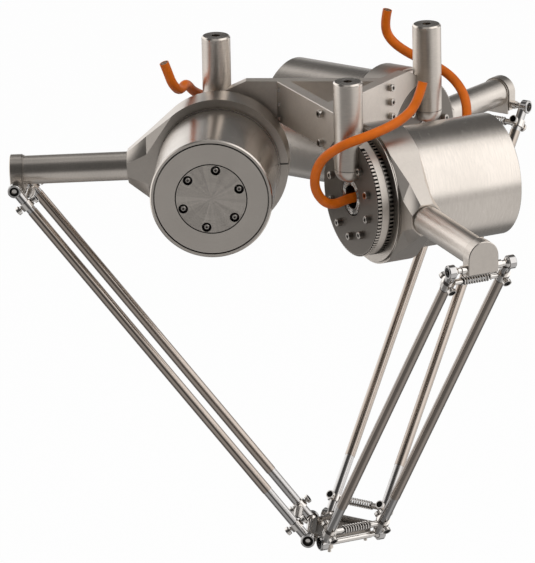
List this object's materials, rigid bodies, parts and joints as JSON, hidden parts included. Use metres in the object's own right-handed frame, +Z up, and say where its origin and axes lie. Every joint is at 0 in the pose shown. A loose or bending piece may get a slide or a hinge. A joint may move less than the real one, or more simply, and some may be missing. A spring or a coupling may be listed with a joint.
{
  "type": "delta robot",
  "caption": "Ceiling-hung delta robot: motor drums on a pin-wheel plate frame swing tube arms, whose ball-ended rod pairs carry a small tool platform.",
  "frame": {"origin": "middle of the circle through the three post tops, in their top plane", "axes": "+Z up, arm A points along -X; arms B and C follow at equal thirds of a turn"},
  "size_m": [0.8582, 0.9896, 0.8771],
  "materials": {
    "satin_plate": "satin machined, warm grey",
    "post": "brushed along the round, polished top rim",
    "notched_ring": "dark machined",
    "cable": "matt orange sheath",
    "screw": "bright socket heads",
    "shaft": "machined",
    "motor_core": "dark laminated iron",
    "bearing": "ground",
    "hub": "satin machined, warm grey",
    "drum": "brushed round the drum",
    "drum_cover": "turned face",
    "arm_tube": "brushed round the tube",
    "elbow_cap": "satin machined, warm grey",
    "ball_axle": "polished",
    "rod": "polished",
    "rod_end": "satin, bluish grey",
    "spring_pin": "satin",
    "spring": "bright wire",
    "platform": "satin machined, warm grey",
    "platform_foot": "light satin",
    "platform_axle": "polished"
  },
  "bodies": {
    "base": {"frame_plate_a": "satin_plate", "hanger_post_a": "post", "mounting_ring_a": "notched_ring", "cable_a": "cable", "frame_plate_b": "satin_plate", "hanger_post_b": "post", "mounting_ring_b": "notched_ring", "cable_b": "cable", "frame_plate_c": "satin_plate", "hanger_post_c": "post", "mounting_ring_c": "notched_ring", "cable_c": "cable", "frame_screws": "screw", "flange_screws": "screw", "motor_shafts": "shaft", "motor_stators": "motor_core", "main_bearings": "bearing"},
    "arm_a": {"clamp_hub_a": "hub", "drum_a": "drum", "drum_cover_a": "drum_cover", "cover_screws_a": "screw", "motor_rotor_a": "motor_core", "arm_tube_a": "arm_tube", "elbow_cap_a": "elbow_cap", "elbow_axle_a": "ball_axle"},
    "rods_a": {"rod_bars_a": "rod", "rod_ends_a": "rod_end", "ball_studs_a": "ball_axle", "spring_pins_a": "spring_pin", "springs_a": "spring"},
    "arm_b": {"clamp_hub_b": "hub", "drum_b": "drum", "drum_cover_b": "drum_cover", "cover_screws_b": "screw", "motor_rotor_b": "motor_core", "arm_tube_b": "arm_tube", "elbow_cap_b": "elbow_cap", "elbow_axle_b": "ball_axle"},
    "rods_b": {"rod_bars_b": "rod", "rod_ends_b": "rod_end", "ball_studs_b": "ball_axle", "spring_pins_b": "spring_pin", "springs_b": "spring"},
    "arm_c": {"clamp_hub_c": "hub", "drum_c": "drum", "drum_cover_c": "drum_cover", "cover_screws_c": "screw", "motor_rotor_c": "motor_core", "arm_tube_c": "arm_tube", "elbow_cap_c": "elbow_cap", "elbow_axle_c": "ball_axle"},
    "rods_c": {"rod_bars_c": "rod", "rod_ends_c": "rod_end", "ball_studs_c": "ball_axle", "spring_pins_c": "spring_pin", "springs_c": "spring"},
    "platform": {"platform_plate": "platform", "platform_feet": "platform_foot", "platform_axles": "platform_axle"}
  },
  "joints": [
    {"name": "arm_a_swing", "type": "hinge", "parent": "base", "child": "arm_a", "pos_m": [-0.187, 0, -0.2], "axis": [0, -1, 0], "range_deg": [0, 40]},
    {"name": "rods_a_swing", "type": "hinge", "parent": "arm_a", "child": "rods_a", "pos_m": [-0.52585, 0, -0.23381], "axis": [0, -1, 0], "range_deg": [-49, 0]},
    {"name": "arm_b_swing", "type": "hinge", "parent": "base", "child": "arm_b", "pos_m": [0.0935, -0.16195, -0.2], "axis": [0.866, 0.5, 0], "range_deg": [0, 40]},
    {"name": "rods_b_swing", "type": "hinge", "parent": "arm_b", "child": "rods_b", "pos_m": [0.26292, -0.4554, -0.23381], "axis": [0.866, 0.5, 0], "range_deg": [-49, 0]},
    {"name": "arm_c_swing", "type": "hinge", "parent": "base", "child": "arm_c", "pos_m": [0.0935, 0.16195, -0.2], "axis": [-0.866, 0.5, 0], "range_deg": [0, 40]},
    {"name": "rods_c_swing", "type": "hinge", "parent": "arm_c", "child": "rods_c", "pos_m": [0.26292, 0.4554, -0.23381], "axis": [-0.866, 0.5, 0], "range_deg": [-49, 0]},
    {"name": "platform_drop", "type": "slide", "parent": "base", "child": "platform", "axis": [0, 0, -1], "range_m": [0, 0.277]}
  ],
  "couplings": [
    {"joint": "arm_b_swing", "follows": "arm_a_swing", "ratio": 1},
    {"joint": "arm_c_swing", "follows": "arm_a_swing", "ratio": 1},
    {"joint": "rods_a_swing", "follows": "arm_a_swing", "ratio": -1.2222},
    {"joint": "rods_b_swing", "follows": "arm_a_swing", "ratio": -1.2222},
    {"joint": "rods_c_swing", "follows": "arm_a_swing", "ratio": -1.2222},
    {"joint": "platform_drop", "follows": "arm_a_swing", "m_per_rad": 0.39582}
  ]
}
